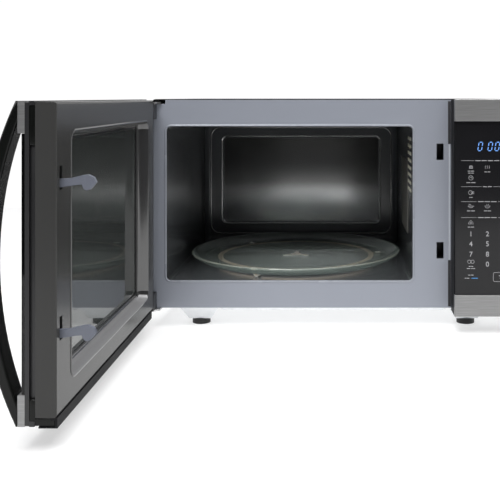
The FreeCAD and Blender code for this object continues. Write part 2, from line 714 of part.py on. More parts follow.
def panel_housing():
    x = (panel_left, right)
    z = (panel_bottom, body_height)
    shell = block(x, ahead(0, panel_depth - 4.5), z)
    room = block((x[0] + panel_wall, x[1] - panel_wall), ahead(-1, panel_depth - 4.5 - panel_wall),
                 (z[0] + panel_wall, z[1] - panel_wall))
    window = display_place()
    hole = block((window[0] - 1, window[0] + 57), ahead(0, panel_depth), (window[1] - 1, window[1] + 25))
    posts = []
    for dx in (12, panel_width - 12):
        for z_post in (z[0] + 40, z[1] - 40):
            posts.append(rod(3, V(x[0] + dx, frame_y - 14, z_post), V(x[0] + dx, frame_y - panel_depth + 6, z_post)))
    return joined(shell.cut([room, hole]), *posts)


def panel_band(z):
    solid = block((panel_left, right), ahead(panel_depth - 4.5, band_front), z)
    edges = [e for e in solid.Edges if abs(e.CenterOfMass.y - (frame_y - band_front)) < 0.01]
    return solid.makeFillet(1.2, edges)


def panel_bands():
    return group([panel_band((body_height - band_height - 0.6, body_height)),
                  panel_band((panel_bottom, door_bottom + band_height - 1))])


def control_glass():
    x = (panel_left + 1.2, right - 1.2)
    z = (door_bottom + band_height - 0.7, body_height - band_height - 0.9)
    return block(x, ahead(panel_depth - 4.5, glass_front), z)


def display_place():
    """The lower left corner of the display, X and Z."""
    return panel_left + 18.5, body_height - 80


def display_module():
    x, z = display_place()
    return block((x, x + 56), ahead(16, panel_depth - 4.7), (z, z + 24))


def control_board():
    z = (panel_bottom + 30, body_height - 30)
    board = block((panel_left + 6, right - 6), ahead(12.4, 14), z)
    x, z_display = display_place()
    legs = block((x + 2, x + 54), ahead(14, 16), (z_display + 2, z_display + 22))
    return joined(board, legs)


def board_parts():
    """Relays, the small transformer and the buzzer on the back of the control board."""
    z = panel_bottom + 70
    parts = []
    for x_size, z_size, depth, dz in ((28, 24, 11, 0), (20, 16, 10, 34), (20, 16, 10, 56), (14, 14, 8, 90)):
        parts.append(rounded((panel_left + 30, panel_left + 30 + x_size), ahead(12.4 - depth, 12.4),
                             (z + dz, z + dz + z_size), BACK, 1.5))
    return group(parts)


# ---- door, drawn closed and then swung open ------------------------------------------
recess_x = (left + 58.5, left + door_width - 42.5)
recess_z = (door_bottom + 29.5, door_top - 28.5)
cover_left = left + 25.5
cover_wall = 2.0
glass_back = door_gap + recess_depth           # inner glass, nearer face
screen_back = glass_back + 3.3
plate_back = screen_back + 0.6


def spread(limits, amount):
    return limits[0] - amount, limits[1] + amount


def hook_x():
    return latch_x - hook_thickness / 2, latch_x + hook_thickness / 2


def inner_cover():
    """The dark plastic panel that faces the oven, with the deep recess of the window."""
    z = (door_bottom + 8, door_top - 1)
    face = block((cover_left, door_right - 0.5), ahead(door_gap, 22), z)
    face = face.makeFillet(2, [e for e in face.Edges if e.CenterOfMass.y > frame_y - door_gap - 0.01])
    room = block((cover_left + cover_wall, door_right - 0.5 - cover_wall), ahead(door_gap + cover_wall, 23),
                 (z[0] + cover_wall, z[1] - cover_wall))
    shell = face.cut(room)
    walls = rounded(spread(recess_x, cover_wall), ahead(door_gap + 0.5, glass_back), spread(recess_z, cover_wall), BACK, 14)
    window = rounded(recess_x, ahead(0, glass_back + 1), recess_z, BACK, 12)
    tools = [window]
    hooks = hook_x()
    for middle in (upper_slot_z, lower_slot_z):
        tools.append(block(spread(hooks, 1.5), ahead(0, door_gap + cover_wall + 1), (middle - 8, middle + 14)))
    ribs = [block(x_rib, ahead(door_gap + cover_wall, 15), (z_rib, z_rib + 20))
            for z_rib in (lower_slot_z + 30, upper_slot_z - 50)
            for x_rib in ((hooks[0] - 2 - fit_gap, hooks[0] - fit_gap), (hooks[1] + fit_gap, hooks[1] + 2 + fit_gap))]
    return joined(shell, walls, *ribs).cut(tools)


def inner_glass():
    return rounded(spread(recess_x, 7), ahead(glass_back, glass_back + 3), spread(recess_z, 7), BACK, 6)


def door_screen():
    return block(spread(recess_x, 9), ahead(screen_back, plate_back), spread(recess_z, 9))


def door_frame():
    """Steel frame that carries the door: a plate with a window and a raised rim."""
    x = (recess_x[0] - 22, recess_x[1] + 12)
    z = (door_bottom + 16, door_top - 14)
    plate = block(x, ahead(plate_back, plate_back + 1.5), z)
    window = rounded(spread(recess_x, -3), ahead(0, 60), spread(recess_z, -3), BACK, 12)
    rim = block(x, ahead(5.5, plate_back + 1.5), z).cut(block(spread(x, -1.2), ahead(0, 60), spread(z, -1.2)))
    return joined(plate.cut(window), rim)


outer_back = plate_back + 6.0                  # rear face of the outer frame's border
upper_block_z = (upper_leaf_z - 22, upper_leaf_z - 1.2)
lower_block_z = (lower_leaf_z + leaf + 1.2, door_bottom + 26)


def outer_frame():
    """Black plastic border behind the front glass, with a return along the hinge side."""
    x = (left, door_right)
    z = (door_bottom, door_top)
    ring = rounded(x, ahead(outer_back, glass_front - 3), z, BACK, 2)
    ring = ring.cut(rounded(spread(recess_x, 1), ahead(0, 60), spread(recess_z, 1), BACK, 12))
    wall_z = (lower_block_z[1], upper_block_z[0])
    side = block((left, left + 2), ahead(8.1, outer_back), wall_z)
    ledge = block((left, cover_left - fit_gap), ahead(8.1, 10), wall_z)
    posts = []
    for x_post in (recess_x[0] - 14, recess_x[1] + 6):
        for z_post in (recess_z[0] - 6, recess_z[1] + 6):
            posts.append(rod(4, V(x_post, frame_y - plate_back - 1.5, z_post), V(x_post, frame_y - outer_back, z_post)))
    blocks = []
    for low, high in ((door_bottom, lower_block_z[0]), (upper_block_z[1], door_top)):
        blocks.append(block((left, cover_left - fit_gap), ahead(18, outer_back), (low, high)))
    caps = [block((cover_left, door_right), ahead(outer_back - 5, outer_back), (low, high))
            for low, high in ((door_bottom, door_bottom + 5), (door_top - 4, door_top))]
    return joined(ring, side, ledge, *posts, *blocks, *caps).cut(list(handle_screws().Solids))


def hinge_blocks():
    """Blocks in the two hinge corners that turn on the pins."""
    y = ahead(door_gap + 0.4, outer_back)
    x = (left + 0.3, left + 24)
    blocks = []
    for z in (upper_block_z, lower_block_z):
        solid = block(x, y, z)
        corner = [e for e in solid.Edges if abs(e.tangentAt(0).z) > 0.9 and e.CenterOfMass.x < left + 1
                  and e.CenterOfMass.y > frame_y - 5]
        solid = solid.makeFillet(2.6, corner)
        blocks.append(solid.cut(rod(pin_radius + 0.15, V(hinge_x, hinge_y, z[0] - 1), V(hinge_x, hinge_y, z[1] + 1))))
    return group(blocks)


def door_glass():
    z = (door_bottom + band_height - 0.7, door_top - band_height - 0.3)
    return block((left + 0.5, door_right - 0.5), ahead(glass_front - 3, glass_front), z)


def door_band(z):
    solid = block((left, door_right), ahead(glass_front - 3, band_front), z)
    edges = [e for e in solid.Edges if abs(e.CenterOfMass.y - (frame_y - band_front)) < 0.01]
    return solid.makeFillet(1.2, edges)


def handle_screw_places():
    x = door_right - handle_width / 2 - 1
    return [V(x, frame_y - outer_back, z) for z in (door_bottom + 9, door_top - 9)]


def handle_screws():
    return group([screw(place, V(0, -1, 0), band_front - outer_back + 2.2, 3.4) for place in handle_screw_places()])


def door_bands():
    bands = [door_band((door_top - band_height, door_top)),
             door_band((door_bottom, door_bottom + band_height - 1))]
    return group([band.cut(list(handle_screws().Solids)) for band in bands])


def door_handle():
    """A bar bowed forward between the two bands."""
    x0 = door_right - handle_width
    front = frame_y - band_front
    middle = (door_bottom + door_top) / 2
    half = (door_top - door_bottom) / 2
    grip = 12.0
    lip = 2.0
    foot = half - 20.5

    def spot(ahead_of_band, up):
        return V(x0, front - ahead_of_band, middle + up)

    outer = Part.Arc(spot(lip, half), spot(handle_reach, 0), spot(lip, -half)).toShape()
    inner = Part.Arc(spot(0, -foot), spot(handle_reach - grip, 0), spot(0, foot)).toShape()
    corners = [(spot(lip, -half), spot(0, -half)), (spot(0, -half), spot(0, -foot)),
               (spot(0, foot), spot(0, half)), (spot(0, half), spot(lip, half))]
    lines = [Part.LineSegment(a, b).toShape() for a, b in corners]
    wire = Part.Wire([outer, lines[0], lines[1], inner, lines[2], lines[3]])
    bar = Part.Face(wire).extrude(V(handle_width, 0, 0))
    long_edges = [e for e in bar.Edges if isinstance(e.Curve, Part.Circle)]
    bar = bar.makeFillet(2.5, long_edges)
    return bar.cut(list(handle_screws().Solids))


def bottom_trim():
    """A black strip under the inner cover."""
    x = (left + 40, door_right - 0.5)
    front = block(x, ahead(door_gap - 1, door_gap + 1.4), (door_bottom - 1.6, door_bottom + 8))
    floor = block(x, ahead(door_gap - 1, 19), (door_bottom - 1.6, door_bottom - 0.1))
    ridge = block(x, ahead(door_gap + 1.4, 8), (door_bottom + 5.5, door_bottom + 8))
    return joined(front, floor, ridge)


def latch_slide():
    """One moulding: an upright bar behind the inner cover with two hooks that reach out of it."""
    hooks = hook_x()
    bar = block(hooks, ahead(door_gap + 6, door_gap + 12), (lower_slot_z - 12, upper_slot_z + 8))
    pieces = [bar]
    for middle in (upper_slot_z, lower_slot_z):
        root = middle - 6.9
        outline = [(6.5, root), (-15, root + 3.2), (-20, root + 3.6), (-22, root - 0.6), (-24.5, root - 2), (-28, root - 1),
                   (-33.6, root + 5.5), (-31.5, root + 10), (-26, root + 12.7), (-20, root + 12), (-8, root + 9), (6.5, root + 8.4)]
        points = [V(hooks[0], frame_y - door_gap - d, z) for d, z in outline]
        pieces.append(prism(points, V(hook_thickness, 0, 0)))
    stud = rod(1.5, V(hooks[0], frame_y - door_gap - 9, lower_slot_z - 9), V(hooks[0] - 4, frame_y - door_gap - 9, lower_slot_z - 9))
    return joined(*pieces, stud)


def latch_spring():
    """A small coil that pulls the slide down to its stop."""
    low = lower_slot_z - 34
    turns, pitch = 8, 2.0
    coil = Part.makeHelix(pitch, turns * pitch, 2.2)
    ring = Part.Wire([Part.makeCircle(0.35, V(2.2, 0, 0), BACK)])
    solid = Part.Wire(coil.Edges).makePipeShell([ring], True, True)
    solid.translate(V(hook_x()[0] - 2.5, frame_y - door_gap - 9, low + 5))
    return solid


def swung(shape):
    """The closed door's shape as it lies when the door is open."""
    shape = shape.copy()
    shape.rotate(V(hinge_x, hinge_y, 0), UP, -door_open_angle)
    return shape


# ---- the nodes ------------------------------------------------------------------------
screws_of_cover = cover_screws()
fixed = {
    "outer_cover": with_screw_holes(outer_cover(), screws_of_cover),
    "rear_panel": with_screw_holes(rear_panel(), screws_of_cover),
    "base_plate": base_plate(),
    "front_frame": front_frame(),
    "cavity": cavity(),
    "waveguide_cover": waveguide_cover(),
    "feet": feet(),
    "case_screws": screws_of_cover,
    "hinge_plates": group([upper_hinge_plate(), lower_hinge_plate()]),
    "hinge_pins": hinge_pins(),
    "cord_bushing": cord_bushing(),
    "waveguide": waveguide(),
    "magnetron_yoke": magnetron_yoke(),
    "magnetron_magnets": magnetron_magnets(),
    "magnetron_anode": magnetron_anode(),
    "magnetron_fins": magnetron_fins(),
    "magnetron_filter_box": magnetron_filter_box(),
    "transformer_core": transformer_core(),
    "transformer_windings": transformer_windings(),
    "hv_capacitor": hv_capacitor(),
    "capacitor_strap": capacitor_strap(),
    "hv_diode": hv_diode(),
    "fan_shroud": fan_shroud(),
    "fan_motor": fan_motor(),
    "fan_blade": fan_blade(),
    "air_duct": air_duct(),
    "lamp_holder": lamp_holder(),
    "oven_lamp": oven_lamp(),
    "thermostats": thermostats(),
    "filter_board": filter_board(),
    "fuse_link": fuse_link(),
    "latch_board": latch_board(),
    "door_switches": door_switches(),
    "turntable_motor": turntable_motor(),
    "drive_shaft": drive_shaft(),
    "tray_coupler": tray_coupler(),
    "glass_tray": glass_tray(),
    "roller_ring": roller_ring(),
    "panel_housing": panel_housing(),
    "panel_bands": panel_bands(),
    "control_glass": control_glass(),
    "display_module": display_module(),
    "control_board": control_board(),
    "board_parts": board_parts(),
}
for number, angle in enumerate(roller_angles, 1):
    fixed[f"roller_{number}"] = roller(angle)

door = {
    "inner_cover": inner_cover(),
    "inner_glass": inner_glass(),
    "door_screen": door_screen(),
    "door_frame": door_frame(),
    "outer_frame": outer_frame(),
    "hinge_blocks": hinge_blocks(),
    "door_glass": door_glass(),
    "door_bands": door_bands(),
    "door_handle": door_handle(),
    "handle_screws": handle_screws(),
    "bottom_trim": bottom_trim(),
    "latch_slide": latch_slide(),
    "latch_spring": latch_spring(),
}

os.makedirs("parts", exist_ok=True)
nodes = dict(fixed, **{name: swung(shape) for name, shape in door.items()})
for name, shape in nodes.items():
    shape.exportStep(f"parts/{name}.step")
    print(name, "solids", len(shape.Solids), "volume", round(shape.Volume), "ok" if shape.isValid() else "INVALID")
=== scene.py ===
import math

import bpy
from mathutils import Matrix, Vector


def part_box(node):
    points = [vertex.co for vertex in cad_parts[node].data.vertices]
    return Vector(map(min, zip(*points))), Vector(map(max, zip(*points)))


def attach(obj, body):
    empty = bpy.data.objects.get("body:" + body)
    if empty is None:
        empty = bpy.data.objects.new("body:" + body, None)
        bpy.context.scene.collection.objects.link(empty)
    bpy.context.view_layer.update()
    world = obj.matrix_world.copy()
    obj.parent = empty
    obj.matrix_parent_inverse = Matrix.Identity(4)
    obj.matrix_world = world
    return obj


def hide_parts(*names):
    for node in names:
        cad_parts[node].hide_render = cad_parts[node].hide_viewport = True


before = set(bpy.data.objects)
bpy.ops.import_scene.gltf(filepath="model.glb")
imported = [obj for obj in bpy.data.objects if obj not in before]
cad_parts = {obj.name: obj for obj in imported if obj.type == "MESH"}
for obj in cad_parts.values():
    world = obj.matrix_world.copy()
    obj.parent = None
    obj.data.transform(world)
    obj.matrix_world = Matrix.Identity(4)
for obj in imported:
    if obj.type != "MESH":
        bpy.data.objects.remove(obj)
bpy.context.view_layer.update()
bpy.ops.object.select_all(action="DESELECT")

# ---- Studio ------------------------------------------------------------------
# A pale floor that glows a little, a large soft lamp above, one in front and a weak
# one on the right. The sky looks white to the camera but lights the oven with a
# grey gradient. The camera looks straight ahead from the height of the oven's top.
bpy.context.scene.view_settings.view_transform = "Standard"
camera_data = bpy.data.cameras.new("camera")
camera_data.sensor_width = 36.0
camera_data.lens = 60.48
camera_data.shift_x = -0.182
camera_data.shift_y = -0.306
camera = bpy.data.objects.new("camera", camera_data)
camera.location = (0.011, -1.395, 0.329)
camera.rotation_euler = (math.radians(90), 0, 0)
bpy.context.scene.collection.objects.link(camera)
bpy.context.scene.camera = camera

sky = bpy.data.worlds.new("sky")
sky.use_nodes = True
sky_glow = sky.node_tree.nodes["Background"]
sky_glow.inputs["Strength"].default_value = 1.02
sky_way = sky.node_tree.nodes.new("ShaderNodeTexCoord")
sky_height = sky.node_tree.nodes.new("ShaderNodeSeparateXYZ")
sky_shade = sky.node_tree.nodes.new("ShaderNodeValToRGB")
sky_shade.color_ramp.elements[0].position = 0.13
sky_shade.color_ramp.elements[0].color = (1, 1, 1, 1)
sky_shade.color_ramp.elements[1].position = 0.38
sky_shade.color_ramp.elements[1].color = (0.14, 0.14, 0.15, 1)
sky.node_tree.links.new(sky_way.outputs["Generated"], sky_height.inputs["Vector"])
sky.node_tree.links.new(sky_height.outputs["Z"], sky_shade.inputs["Fac"])
sky_side = sky.node_tree.nodes.new("ShaderNodeMapRange")
sky_side.interpolation_type = "SMOOTHSTEP"
sky_side.inputs["From Min"].default_value = -0.35
sky_side.inputs["From Max"].default_value = 0.25
sky_mix = sky.node_tree.nodes.new("ShaderNodeMix")
sky_mix.data_type = "RGBA"
sky_mix.inputs["A"].default_value = (0.10, 0.10, 0.105, 1)
sky.node_tree.links.new(sky_height.outputs["Y"], sky_side.inputs["Value"])
sky.node_tree.links.new(sky_side.outputs["Result"], sky_mix.inputs["Factor"])
sky.node_tree.links.new(sky_shade.outputs["Color"], sky_mix.inputs["B"])
sky_seen = sky.node_tree.nodes.new("ShaderNodeLightPath")
sky_back = sky.node_tree.nodes.new("ShaderNodeMix")
sky_back.data_type = "RGBA"
sky_back.inputs["B"].default_value = (1, 1, 1, 1)
sky.node_tree.links.new(sky_seen.outputs["Is Camera Ray"], sky_back.inputs["Factor"])
sky.node_tree.links.new(sky_mix.outputs["Result"], sky_back.inputs["A"])
sky.node_tree.links.new(sky_back.outputs["Result"], sky_glow.inputs["Color"])
bpy.context.scene.world = sky


def soft_lamp(name, place, aim, size, power):
    """A square soft lamp that points from its place at its aim."""
    lamp_data = bpy.data.lights.new(name, "AREA")
    lamp_data.shape = "SQUARE"
    lamp_data.size = size
    lamp_data.energy = power
    lamp = bpy.data.objects.new(name, lamp_data)
    lamp.location = place
    way = [a - b for a, b in zip(aim, place)]
    yaw = math.atan2(way[1], way[0]) - math.pi / 2
    pitch = math.atan2(way[2], math.hypot(way[0], way[1]))
    lamp.rotation_euler = (math.pi / 2 + pitch, 0, yaw)
    bpy.context.scene.collection.objects.link(lamp)


soft_lamp("top_lamp", (0.2, -0.7, 2.3), (0.2, -0.7, 0.0), 2.4, 90)
soft_lamp("front_lamp", (-0.7, -2.2, 2.3), (0.1, -0.1, 0.15), 1.1, 46)
soft_lamp("side_lamp", (2.2, -1.0, 1.5), (0.0, -0.2, 0.1), 1.0, 5)

bpy.ops.mesh.primitive_plane_add(size=1, location=(0, -0.15, 0))
floor = bpy.context.object
floor.name = "floor"
floor.scale = (3.4, 2.5, 1)
bpy.ops.object.transform_apply(location=True, rotation=True, scale=True)
paper = bpy.data.materials.new("pale_floor")
paper.use_nodes = True
paper_shader = paper.node_tree.nodes["Principled BSDF"]
paper_shader.inputs["Base Color"].default_value = (0.50, 0.50, 0.50, 1)
paper_shader.inputs["Emission Color"].default_value = (1, 1, 1, 1)
paper_shader.inputs["Emission Strength"].default_value = 0.55
paper_shader.inputs["Roughness"].default_value = 0.75
paper_shader.inputs["Specular IOR Level"].default_value = 0.2
floor.data.materials.append(paper)
floor.select_set(False)


# ---- Cabinet sheet metal -----------------------------------------------------
# The wrap-over cover is satin black paint on steel, the rear is bare galvanised
# sheet, the base is pale, and the front frame is blue-grey enamel. Screws hold them.
def coat(name, colour, roughness, metallic=0.0, grain=400.0, relief=0.02, tone=0.06,
         stretch=(1, 1, 1), relief_depth=0.0002, clear=0.0, patchy=0.07):
    """A finish whose colour, gloss and surface vary a little with a fine grain.

    grain is the scale of the fine pattern, relief the strength of its bump, tone and
    patchy how far the colour and the gloss vary, and clear the weight of a clear coat.
    """
    made = bpy.data.materials.new(name)
    made.use_nodes = True
    tree = made.node_tree
    shader = tree.nodes["Principled BSDF"]
    shader.inputs["Metallic"].default_value = metallic
    shader.inputs["Coat Weight"].default_value = clear
    shader.inputs["Coat Roughness"].default_value = 0.06
    place = tree.nodes.new("ShaderNodeTexCoord")
    spread = tree.nodes.new("ShaderNodeMapping")
    spread.inputs["Scale"].default_value = stretch
    tree.links.new(place.outputs["Object"], spread.inputs["Vector"])
    fine = tree.nodes.new("ShaderNodeTexNoise")
    fine.inputs["Scale"].default_value = grain
    fine.inputs["Detail"].default_value = 4.0
    tree.links.new(spread.outputs["Vector"], fine.inputs["Vector"])
    broad = tree.nodes.new("ShaderNodeTexNoise")
    broad.inputs["Scale"].default_value = 9.0
    broad.inputs["Detail"].default_value = 3.0
    tree.links.new(place.outputs["Object"], broad.inputs["Vector"])
    shade = tree.nodes.new("ShaderNodeValToRGB")
    low = [max(0.0, c * (1 - tone)) for c in colour]
    high = [min(1.0, c * (1 + tone)) for c in colour]
    shade.color_ramp.elements[0].position = 0.3
    shade.color_ramp.elements[0].color = (*low, 1)
    shade.color_ramp.elements[1].position = 0.7
    shade.color_ramp.elements[1].color = (*high, 1)
    tree.links.new(fine.outputs["Fac"], shade.inputs["Fac"])
    tree.links.new(shade.outputs["Color"], shader.inputs["Base Color"])
    gloss = tree.nodes.new("ShaderNodeMapRange")
    gloss.inputs["From Min"].default_value = 0.3
    gloss.inputs["From Max"].default_value = 0.7
    gloss.inputs["To Min"].default_value = max(0.02, roughness * (1 - patchy))
    gloss.inputs["To Max"].default_value = min(1.0, roughness * (1 + patchy))
    tree.links.new(broad.outputs["Fac"], gloss.inputs["Value"])
    tree.links.new(gloss.outputs["Result"], shader.inputs["Roughness"])
    if relief:
        bump = tree.nodes.new("ShaderNodeBump")
        bump.inputs["Strength"].default_value = relief
        bump.inputs["Distance"].default_value = relief_depth
        tree.links.new(fine.outputs["Fac"], bump.inputs["Height"])
        tree.links.new(bump.outputs["Normal"], shader.inputs["Normal"])
    return made


def dress(material, *nodes):
    """Gives CAD nodes a finish."""
    for node in nodes:
        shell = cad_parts[node]
        shell.data.materials.clear()
        shell.data.materials.append(material)


cover_paint = coat("cover_paint", (0.012, 0.012, 0.013), 0.42, grain=900, relief=0.25)
galvanised = coat("galvanised", (0.62, 0.64, 0.66), 0.38, metallic=0.55, grain=55, relief=0.05,
                  tone=0.12)
base_coat = coat("base_coat", (0.86, 0.88, 0.90), 0.32, grain=70, relief=0.04, tone=0.05)
frame_enamel = coat("frame_enamel", (0.265, 0.282, 0.325), 0.34, metallic=0.15, grain=1400,
                    relief=0.06, tone=0.03)
zinc = coat("zinc", (0.60, 0.60, 0.60), 0.28, metallic=1.0, grain=300, relief=0.08)
foot_rubber = coat("foot_rubber", (0.012, 0.012, 0.012), 0.55, grain=1200, relief=0.3)
dress(cover_paint, "outer_cover")
dress(galvanised, "rear_panel")
dress(base_coat, "base_plate")
dress(frame_enamel, "front_frame")
dress(zinc, "case_screws", "hinge_plates", "hinge_pins")
dress(foot_rubber, "feet", "cord_bushing")


# ---- Front frame trims -------------------------------------------------------
# The opening has a rolled lip of enamelled sheet. Black foam strips lie beside the
# control panel, and between them a strip paler than the frame's enamel is a painted
# highlight on the frame's edge.
def settle(name, material, body, smooth=40):
    """Ends the shaping of a piece: finish, place in the mesh, body."""
    piece = bpy.context.object
    piece.name = name
    bpy.ops.object.mode_set(mode="OBJECT")
    bpy.ops.object.transform_apply(location=True, rotation=True, scale=True)
    bpy.ops.object.shade_smooth_by_angle(angle=math.radians(smooth))
    piece.data.materials.clear()
    piece.data.materials.append(material)
    piece.select_set(False)
    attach(piece, body)
    return piece


def sunk_ring(middle, turn, size, corner, steps, wall):
    """A rounded rectangular ring whose section is given as steps of (inwards, up)."""
    bpy.ops.mesh.primitive_plane_add(size=1, location=middle, rotation=turn)
    bpy.context.object.scale = (size[0], size[1], 1)
    bpy.ops.object.transform_apply(location=False, rotation=False, scale=True)
    bpy.ops.object.mode_set(mode="EDIT")
    bpy.ops.mesh.select_all(action="SELECT")
    bpy.ops.mesh.bevel(offset=corner, segments=10, affect="VERTICES")
    for inwards, up in steps:
        bpy.ops.mesh.inset(thickness=inwards, depth=up, use_even_offset=True)
    bpy.ops.mesh.delete(type="FACE")
    bpy.ops.mesh.select_all(action="SELECT")
    bpy.ops.mesh.normals_make_consistent(inside=False)
    bpy.ops.object.mode_set(mode="OBJECT")
    if bpy.context.object.data.polygons[0].normal.z < 0:
        bpy.context.object.data.flip_normals()
    skin = bpy.context.object.modifiers.new("wall", "SOLIDIFY")
    skin.thickness = wall
    skin.offset = -1
    bpy.ops.object.modifier_apply(modifier="wall")


def bevelled_block(low, high, edge, segments=3):
    """A box between two corners with rounded edges, left in edit mode for settle."""
    middle = [(a + b) / 2 for a, b in zip(low, high)]
    bpy.ops.mesh.primitive_cube_add(size=1, location=middle)
    bpy.context.object.scale = [b - a for a, b in zip(low, high)]
    bpy.ops.object.transform_apply(location=False, rotation=False, scale=True)
    bpy.ops.object.mode_set(mode="EDIT")
    bpy.ops.mesh.select_all(action="SELECT")
    bpy.ops.mesh.bevel(offset=edge, segments=segments, affect="EDGES")


frame_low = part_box("front_frame")[0]
cavity_low, cavity_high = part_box("cavity")
cavity_sheet = 0.0008
mouth_foot = 0.0662
mouth = ((cavity_low.x + cavity_sheet, cavity_high.x - cavity_sheet),
         (mouth_foot, cavity_high.z - cavity_sheet))
mouth_middle = (sum(mouth[0]) / 2, frame_low.y - 0.0001, sum(mouth[1]) / 2)
facing_front = (math.radians(90), 0, 0)
lip_enamel = coat("lip_enamel", (0.29, 0.305, 0.345), 0.28, metallic=0.15, grain=1400,
                  relief=0.04, tone=0.03)
lip_reach = 0.004
sunk_ring(mouth_middle, facing_front,
          (mouth[0][1] - mouth[0][0] + lip_reach, mouth[1][1] - mouth[1][0] + lip_reach), 0.009,
          [(0.0005, 0.0005), (0.0007, 0.0002), (0.0007, -0.0001), (0.0006, -0.0007),
           (0.0003, -0.0012)], 0.0002)
settle("opening_lip", lip_enamel, "cabinet")
panel_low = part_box("panel_housing")[0]
foam = coat("foam", (0.02, 0.02, 0.022), 0.8, grain=700, relief=0.5)
for name, bottom, top in (("panel_foam_top", 0.2620, 0.3230),
                          ("panel_foam_bottom", 0.0300, 0.0960)):
    bevelled_block((panel_low.x - 0.0044, frame_low.y - 0.0007, bottom),
                   (panel_low.x - 0.0004, frame_low.y + 0.0001, top), 0.0003, 2)
    settle(name, foam, "cabinet")
# The pale strip is a painted highlight: lighter than the frame's enamel, where the frame's edge
# catches the light.
edge_highlight_paint = coat("edge_highlight_paint", (0.50, 0.53, 0.58), 0.25, metallic=0.1, grain=1400, relief=0)
bevelled_block((panel_low.x - 0.0034, frame_low.y - 0.0006, 0.0964),
               (panel_low.x - 0.0016, frame_low.y + 0.0001, 0.2616), 0.0002, 2)
settle("panel_edge_highlight", edge_highlight_paint, "cabinet")

# ---- Oven cavity -------------------------------------------------------------
# A welded box of thin sheet with glossy dark enamel. A sheet of mica covers the
# mouth of the waveguide on the right wall, and the lamp shines through holes.
cavity_enamel = coat("cavity_enamel", (0.066, 0.070, 0.074), 0.18, grain=1100, relief=0, tone=0.06,
                     patchy=0.02)
mica = coat("mica", (0.16, 0.155, 0.14), 0.6, grain=160, relief=0.15, tone=0.15,
            stretch=(1, 1, 3))
white_moulding = coat("white_moulding", (0.66, 0.64, 0.58), 0.38, grain=700, relief=0.05)
bulb = coat("bulb", (0.95, 0.72, 0.38), 0.1, grain=20, relief=0)
bulb_shader = bulb.node_tree.nodes["Principled BSDF"]
bulb_shader.inputs["Emission Color"].default_value = (1.0, 0.62, 0.28, 1)
bulb_shader.inputs["Emission Strength"].default_value = 6.0
dress(cavity_enamel, "cavity")
dress(mica, "waveguide_cover")
dress(galvanised, "lamp_holder")
dress(bulb, "oven_lamp")
dress(white_moulding, "air_duct", "fuse_link")

# ---- Pressed beads of the oven's back wall -----------------------------------
# The back wall is stiffened by a pressed rectangle with a rounded bead round it,
# and a second bead runs along its edges, where the sheet is folded and welded.
press_depth = 0.004
wall_y = cavity_high.y - cavity_sheet - press_depth
pressed = ((cavity_low.x + cavity_sheet + 0.031, cavity_high.x - cavity_sheet - 0.031),
           (0.0967, 0.2566))
pressed_middle = (sum(pressed[0]) / 2, wall_y - 0.0002, sum(pressed[1]) / 2)
# The bead takes a pale, strongly metallic copy of the cavity enamel, far brighter than the wall
# round it: a painted highlight along the bead.
bead_highlight_enamel = coat("bead_highlight_enamel", (0.62, 0.62, 0.62), 0.16, metallic=0.8, grain=1100, relief=0)
bead_reach = 0.004
sunk_ring(pressed_middle, facing_front,
          (pressed[0][1] - pressed[0][0] + bead_reach, pressed[1][1] - pressed[1][0] + bead_reach),
          0.011, [(0.0008, 0.0008), (0.0008, 0.0004), (0.0008, -0.0002), (0.0008, -0.0010),
                  (0.0006, -0.0030)], 0.0002)
settle("wall_bead", bead_highlight_enamel, "cabinet")
fold = ((cavity_low.x + 0.0098, cavity_high.x - 0.0098), (0.0762, 0.2742))
sunk_ring((sum(fold[0]) / 2, wall_y - 0.0002, sum(fold[1]) / 2), facing_front,
          (fold[0][1] - fold[0][0], fold[1][1] - fold[1][0]), 0.018,
          [(0.0008, 0.0006), (0.0007, 0.0002), (0.0007, -0.0002), (0.0008, -0.0006)], 0.0002)
# The fold bead takes a paler copy of the enamel as well: a painted highlight along the wall's
# edges.
fold_highlight_enamel = coat("fold_highlight_enamel", (0.22, 0.22, 0.22), 0.16, metallic=0.8, grain=1100, relief=0)
settle("wall_fold", fold_highlight_enamel, "cabinet")

# ---- Pressed field of the back wall ------------------------------------------
# A thin sheet inside the bead, given a brighter and more metallic copy of the
# enamel round it so that it shows more reflected light. Its colour is a painted
# reflection: dark at the top and bright at the foot, in place of the light that
# would be reflected there.
field_enamel = coat("field_enamel", (0.93, 0.94, 0.95), 0.27, metallic=0.85, grain=1100, relief=0,
                    tone=0.03, patchy=0.0)
field_tree = field_enamel.node_tree
field_place = field_tree.nodes.new("ShaderNodeSeparateXYZ")
field_height = field_tree.nodes.new("ShaderNodeMapRange")
field_height.inputs["From Min"].default_value = pressed[1][0]
field_height.inputs["From Max"].default_value = pressed[1][1]
# This ramp paints the reflection: bright at the foot of the field, dark at its top.
field_painted_reflection = field_tree.nodes.new("ShaderNodeValToRGB")
field_painted_reflection.color_ramp.interpolation = "EASE"
field_painted_reflection.color_ramp.elements[0].color = (1, 1, 1, 1)
field_painted_reflection.color_ramp.elements[1].color = (0.11, 0.11, 0.105, 1)
field_painted_reflection.color_ramp.elements.new(0.22).color = (0.80, 0.80, 0.80, 1)
field_painted_reflection.color_ramp.elements.new(0.50).color = (0.19, 0.19, 0.185, 1)
field_shade = field_tree.nodes.new("ShaderNodeMix")
field_shade.data_type = "RGBA"
field_shade.blend_type = "MULTIPLY"
field_shade.inputs["Factor"].default_value = 1.0
field_tree.links.new(field_tree.nodes["Texture Coordinate"].outputs["Object"],
                     field_place.inputs["Vector"])
field_tree.links.new(field_place.outputs["Z"], field_height.inputs["Value"])
field_tree.links.new(field_height.outputs["Result"], field_painted_reflection.inputs["Fac"])
field_tree.links.new(field_tree.nodes["Color Ramp"].outputs["Color"],
                     field_shade.inputs["A"])
field_tree.links.new(field_painted_reflection.outputs["Color"], field_shade.inputs["B"])
